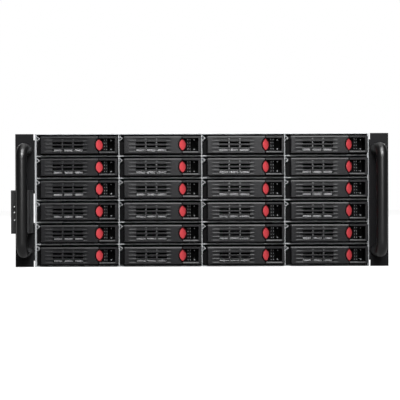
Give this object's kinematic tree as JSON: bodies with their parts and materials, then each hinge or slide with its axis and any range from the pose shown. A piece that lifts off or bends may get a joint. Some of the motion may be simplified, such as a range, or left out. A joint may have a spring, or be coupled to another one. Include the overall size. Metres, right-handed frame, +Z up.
{
  "type": "rackmount server chassis",
  "caption": "Rack server chassis with a grid of hot-swap drive trays, swing-out levers, side handles and a lift-off cover.",
  "frame": {"origin": "on the underside of the base pan, on the plane of symmetry, straight below the rear face of the rack ears", "axes": "+X to the right seen from the front, +Y to the back, +Z up"},
  "size_m": [0.4826, 0.707, 0.172],
  "materials": {
    "case_steel": "galvanised",
    "cage_steel": "galvanised",
    "ear_paint": "fine texture black",
    "handle_black": "satin black",
    "module_plastic": "matt black",
    "power_button": "gloss",
    "board": "solder mask green",
    "fan_plastic": "matt black",
    "tray": "galvanised sled, black front",
    "lever_plastic": "fine texture"
  },
  "bodies": {
    "chassis": {"base_pan": "case_steel", "drive_cage": "cage_steel", "rack_ears": "ear_paint", "handles": "handle_black", "control_module": "module_plastic", "backplanes": "board", "fan_wall": "fan_plastic"},
    "top_cover": {"top_cover": "case_steel"},
    "power_button": {"power_button": "power_button"},
    "fan_rotor_1": {"fan_rotor_1": "fan_plastic"},
    "fan_rotor_2": {"fan_rotor_2": "fan_plastic"},
    "fan_rotor_3": {"fan_rotor_3": "fan_plastic"},
    "tray_r1c1": {"tray_r1c1": "tray"},
    "lever_r1c1": {"lever_r1c1": "lever_plastic"},
    "tray_r1c2": {"tray_r1c2": "tray"},
    "lever_r1c2": {"lever_r1c2": "lever_plastic"},
    "tray_r1c3": {"tray_r1c3": "tray"},
    "lever_r1c3": {"lever_r1c3": "lever_plastic"},
    "tray_r1c4": {"tray_r1c4": "tray"},
    "lever_r1c4": {"lever_r1c4": "lever_plastic"},
    "tray_r2c1": {"tray_r2c1": "tray"},
    "lever_r2c1": {"lever_r2c1": "lever_plastic"},
    "tray_r2c2": {"tray_r2c2": "tray"},
    "lever_r2c2": {"lever_r2c2": "lever_plastic"},
    "tray_r2c3": {"tray_r2c3": "tray"},
    "lever_r2c3": {"lever_r2c3": "lever_plastic"},
    "tray_r2c4": {"tray_r2c4": "tray"},
    "lever_r2c4": {"lever_r2c4": "lever_plastic"},
    "tray_r3c1": {"tray_r3c1": "tray"},
    "lever_r3c1": {"lever_r3c1": "lever_plastic"},
    "tray_r3c2": {"tray_r3c2": "tray"},
    "lever_r3c2": {"lever_r3c2": "lever_plastic"},
    "tray_r3c3": {"tray_r3c3": "tray"},
    "lever_r3c3": {"lever_r3c3": "lever_plastic"},
    "tray_r3c4": {"tray_r3c4": "tray"},
    "lever_r3c4": {"lever_r3c4": "lever_plastic"},
    "tray_r4c1": {"tray_r4c1": "tray"},
    "lever_r4c1": {"lever_r4c1": "lever_plastic"},
    "tray_r4c2": {"tray_r4c2": "tray"},
    "lever_r4c2": {"lever_r4c2": "lever_plastic"},
    "tray_r4c3": {"tray_r4c3": "tray"},
    "lever_r4c3": {"lever_r4c3": "lever_plastic"},
    "tray_r4c4": {"tray_r4c4": "tray"},
    "lever_r4c4": {"lever_r4c4": "lever_plastic"},
    "tray_r5c1": {"tray_r5c1": "tray"},
    "lever_r5c1": {"lever_r5c1": "lever_plastic"},
    "tray_r5c2": {"tray_r5c2": "tray"},
    "lever_r5c2": {"lever_r5c2": "lever_plastic"},
    "tray_r5c3": {"tray_r5c3": "tray"},
    "lever_r5c3": {"lever_r5c3": "lever_plastic"},
    "tray_r5c4": {"tray_r5c4": "tray"},
    "lever_r5c4": {"lever_r5c4": "lever_plastic"},
    "tray_r6c1": {"tray_r6c1": "tray"},
    "lever_r6c1": {"lever_r6c1": "lever_plastic"},
    "tray_r6c2": {"tray_r6c2": "tray"},
    "lever_r6c2": {"lever_r6c2": "lever_plastic"},
    "tray_r6c3": {"tray_r6c3": "tray"},
    "lever_r6c3": {"lever_r6c3": "lever_plastic"},
    "tray_r6c4": {"tray_r6c4": "tray"},
    "lever_r6c4": {"lever_r6c4": "lever_plastic"}
  },
  "joints": [
    {"name": "top_cover_lift", "type": "slide", "parent": "chassis", "child": "top_cover", "axis": [0, 0, 1], "range_m": [0, 0.2]},
    {"name": "power_button_press", "type": "slide", "parent": "chassis", "child": "power_button", "axis": [0, 1, 0], "range_m": [0, 0.0015], "stiffness_N_per_m": 400},
    {"name": "fan_rotor_1_spin", "type": "hinge", "parent": "chassis", "child": "fan_rotor_1", "pos_m": [-0.14333, 0.241, 0.086], "axis": [0, 1, 0], "continuous": true},
    {"name": "fan_rotor_2_spin", "type": "hinge", "parent": "chassis", "child": "fan_rotor_2", "pos_m": [0, 0.241, 0.086], "axis": [0, 1, 0], "continuous": true},
    {"name": "fan_rotor_3_spin", "type": "hinge", "parent": "chassis", "child": "fan_rotor_3", "pos_m": [0.14333, 0.241, 0.086], "axis": [0, 1, 0], "continuous": true},
    {"name": "tray_slide_r1c1", "type": "slide", "parent": "chassis", "child": "tray_r1c1", "axis": [0, -1, 0], "range_m": [0, 0.205]},
    {"name": "lever_swing_r1c1", "type": "hinge", "parent": "tray_r1c1", "child": "lever_r1c1", "pos_m": [-0.2055, -0.004, 0.1573], "axis": [0, 0, -1], "range_deg": [0, 65]},
    {"name": "tray_slide_r1c2", "type": "slide", "parent": "chassis", "child": "tray_r1c2", "axis": [0, -1, 0], "range_m": [0, 0.205]},
    {"name": "lever_swing_r1c2", "type": "hinge", "parent": "tray_r1c2", "child": "lever_r1c2", "pos_m": [-0.09825, -0.004, 0.1573], "axis": [0, 0, -1], "range_deg": [0, 65]},
    {"name": "tray_slide_r1c3", "type": "slide", "parent": "chassis", "child": "tray_r1c3", "axis": [0, -1, 0], "range_m": [0, 0.205]},
    {"name": "lever_swing_r1c3", "type": "hinge", "parent": "tray_r1c3", "child": "lever_r1c3", "pos_m": [0.009, -0.004, 0.1573], "axis": [0, 0, -1], "range_deg": [0, 65]},
    {"name": "tray_slide_r1c4", "type": "slide", "parent": "chassis", "child": "tray_r1c4", "axis": [0, -1, 0], "range_m": [0, 0.205]},
    {"name": "lever_swing_r1c4", "type": "hinge", "parent": "tray_r1c4", "child": "lever_r1c4", "pos_m": [0.11625, -0.004, 0.1573], "axis": [0, 0, -1], "range_deg": [0, 65]},
    {"name": "tray_slide_r2c1", "type": "slide", "parent": "chassis", "child": "tray_r2c1", "axis": [0, -1, 0], "range_m": [0, 0.205]},
    {"name": "lever_swing_r2c1", "type": "hinge", "parent": "tray_r2c1", "child": "lever_r2c1", "pos_m": [-0.2055, -0.004, 0.1288], "axis": [0, 0, -1], "range_deg": [0, 65]},
    {"name": "tray_slide_r2c2", "type": "slide", "parent": "chassis", "child": "tray_r2c2", "axis": [0, -1, 0], "range_m": [0, 0.205]},
    {"name": "lever_swing_r2c2", "type": "hinge", "parent": "tray_r2c2", "child": "lever_r2c2", "pos_m": [-0.09825, -0.004, 0.1288], "axis": [0, 0, -1], "range_deg": [0, 65]},
    {"name": "tray_slide_r2c3", "type": "slide", "parent": "chassis", "child": "tray_r2c3", "axis": [0, -1, 0], "range_m": [0, 0.205]},
    {"name": "lever_swing_r2c3", "type": "hinge", "parent": "tray_r2c3", "child": "lever_r2c3", "pos_m": [0.009, -0.004, 0.1288], "axis": [0, 0, -1], "range_deg": [0, 65]},
    {"name": "tray_slide_r2c4", "type": "slide", "parent": "chassis", "child": "tray_r2c4", "axis": [0, -1, 0], "range_m": [0, 0.205]},
    {"name": "lever_swing_r2c4", "type": "hinge", "parent": "tray_r2c4", "child": "lever_r2c4", "pos_m": [0.11625, -0.004, 0.1288], "axis": [0, 0, -1], "range_deg": [0, 65]},
    {"name": "tray_slide_r3c1", "type": "slide", "parent": "chassis", "child": "tray_r3c1", "axis": [0, -1, 0], "range_m": [0, 0.205]},
    {"name": "lever_swing_r3c1", "type": "hinge", "parent": "tray_r3c1", "child": "lever_r3c1", "pos_m": [-0.2055, -0.004, 0.1003], "axis": [0, 0, -1], "range_deg": [0, 65]},
    {"name": "tray_slide_r3c2", "type": "slide", "parent": "chassis", "child": "tray_r3c2", "axis": [0, -1, 0], "range_m": [0, 0.205]},
    {"name": "lever_swing_r3c2", "type": "hinge", "parent": "tray_r3c2", "child": "lever_r3c2", "pos_m": [-0.09825, -0.004, 0.1003], "axis": [0, 0, -1], "range_deg": [0, 65]},
    {"name": "tray_slide_r3c3", "type": "slide", "parent": "chassis", "child": "tray_r3c3", "axis": [0, -1, 0], "range_m": [0, 0.205]},
    {"name": "lever_swing_r3c3", "type": "hinge", "parent": "tray_r3c3", "child": "lever_r3c3", "pos_m": [0.009, -0.004, 0.1003], "axis": [0, 0, -1], "range_deg": [0, 65]},
    {"name": "tray_slide_r3c4", "type": "slide", "parent": "chassis", "child": "tray_r3c4", "axis": [0, -1, 0], "range_m": [0, 0.205]},
    {"name": "lever_swing_r3c4", "type": "hinge", "parent": "tray_r3c4", "child": "lever_r3c4", "pos_m": [0.11625, -0.004, 0.1003], "axis": [0, 0, -1], "range_deg": [0, 65]},
    {"name": "tray_slide_r4c1", "type": "slide", "parent": "chassis", "child": "tray_r4c1", "axis": [0, -1, 0], "range_m": [0, 0.205]},
    {"name": "lever_swing_r4c1", "type": "hinge", "parent": "tray_r4c1", "child": "lever_r4c1", "pos_m": [-0.2055, -0.004, 0.0718], "axis": [0, 0, -1], "range_deg": [0, 65]},
    {"name": "tray_slide_r4c2", "type": "slide", "parent": "chassis", "child": "tray_r4c2", "axis": [0, -1, 0], "range_m": [0, 0.205]},
    {"name": "lever_swing_r4c2", "type": "hinge", "parent": "tray_r4c2", "child": "lever_r4c2", "pos_m": [-0.09825, -0.004, 0.0718], "axis": [0, 0, -1], "range_deg": [0, 65]},
    {"name": "tray_slide_r4c3", "type": "slide", "parent": "chassis", "child": "tray_r4c3", "axis": [0, -1, 0], "range_m": [0, 0.205]},
    {"name": "lever_swing_r4c3", "type": "hinge", "parent": "tray_r4c3", "child": "lever_r4c3", "pos_m": [0.009, -0.004, 0.0718], "axis": [0, 0, -1], "range_deg": [0, 65]},
    {"name": "tray_slide_r4c4", "type": "slide", "parent": "chassis", "child": "tray_r4c4", "axis": [0, -1, 0], "range_m": [0, 0.205]},
    {"name": "lever_swing_r4c4", "type": "hinge", "parent": "tray_r4c4", "child": "lever_r4c4", "pos_m": [0.11625, -0.004, 0.0718], "axis": [0, 0, -1], "range_deg": [0, 65]},
    {"name": "tray_slide_r5c1", "type": "slide", "parent": "chassis", "child": "tray_r5c1", "axis": [0, -1, 0], "range_m": [0, 0.205]},
    {"name": "lever_swing_r5c1", "type": "hinge", "parent": "tray_r5c1", "child": "lever_r5c1", "pos_m": [-0.2055, -0.004, 0.0433], "axis": [0, 0, -1], "range_deg": [0, 65]},
    {"name": "tray_slide_r5c2", "type": "slide", "parent": "chassis", "child": "tray_r5c2", "axis": [0, -1, 0], "range_m": [0, 0.205]},
    {"name": "lever_swing_r5c2", "type": "hinge", "parent": "tray_r5c2", "child": "lever_r5c2", "pos_m": [-0.09825, -0.004, 0.0433], "axis": [0, 0, -1], "range_deg": [0, 65]},
    {"name": "tray_slide_r5c3", "type": "slide", "parent": "chassis", "child": "tray_r5c3", "axis": [0, -1, 0], "range_m": [0, 0.205]},
    {"name": "lever_swing_r5c3", "type": "hinge", "parent": "tray_r5c3", "child": "lever_r5c3", "pos_m": [0.009, -0.004, 0.0433], "axis": [0, 0, -1], "range_deg": [0, 65]},
    {"name": "tray_slide_r5c4", "type": "slide", "parent": "chassis", "child": "tray_r5c4", "axis": [0, -1, 0], "range_m": [0, 0.205]},
    {"name": "lever_swing_r5c4", "type": "hinge", "parent": "tray_r5c4", "child": "lever_r5c4", "pos_m": [0.11625, -0.004, 0.0433], "axis": [0, 0, -1], "range_deg": [0, 65]},
    {"name": "tray_slide_r6c1", "type": "slide", "parent": "chassis", "child": "tray_r6c1", "axis": [0, -1, 0], "range_m": [0, 0.205]},
    {"name": "lever_swing_r6c1", "type": "hinge", "parent": "tray_r6c1", "child": "lever_r6c1", "pos_m": [-0.2055, -0.004, 0.0148], "axis": [0, 0, -1], "range_deg": [0, 65]},
    {"name": "tray_slide_r6c2", "type": "slide", "parent": "chassis", "child": "tray_r6c2", "axis": [0, -1, 0], "range_m": [0, 0.205]},
    {"name": "lever_swing_r6c2", "type": "hinge", "parent": "tray_r6c2", "child": "lever_r6c2", "pos_m": [-0.09825, -0.004, 0.0148], "axis": [0, 0, -1], "range_deg": [0, 65]},
    {"name": "tray_slide_r6c3", "type": "slide", "parent": "chassis", "child": "tray_r6c3", "axis": [0, -1, 0], "range_m": [0, 0.205]},
    {"name": "lever_swing_r6c3", "type": "hinge", "parent": "tray_r6c3", "child": "lever_r6c3", "pos_m": [0.009, -0.004, 0.0148], "axis": [0, 0, -1], "range_deg": [0, 65]},
    {"name": "tray_slide_r6c4", "type": "slide", "parent": "chassis", "child": "tray_r6c4", "axis": [0, -1, 0], "range_m": [0, 0.205]},
    {"name": "lever_swing_r6c4", "type": "hinge", "parent": "tray_r6c4", "child": "lever_r6c4", "pos_m": [0.11625, -0.004, 0.0148], "axis": [0, 0, -1], "range_deg": [0, 65]}
  ]
}
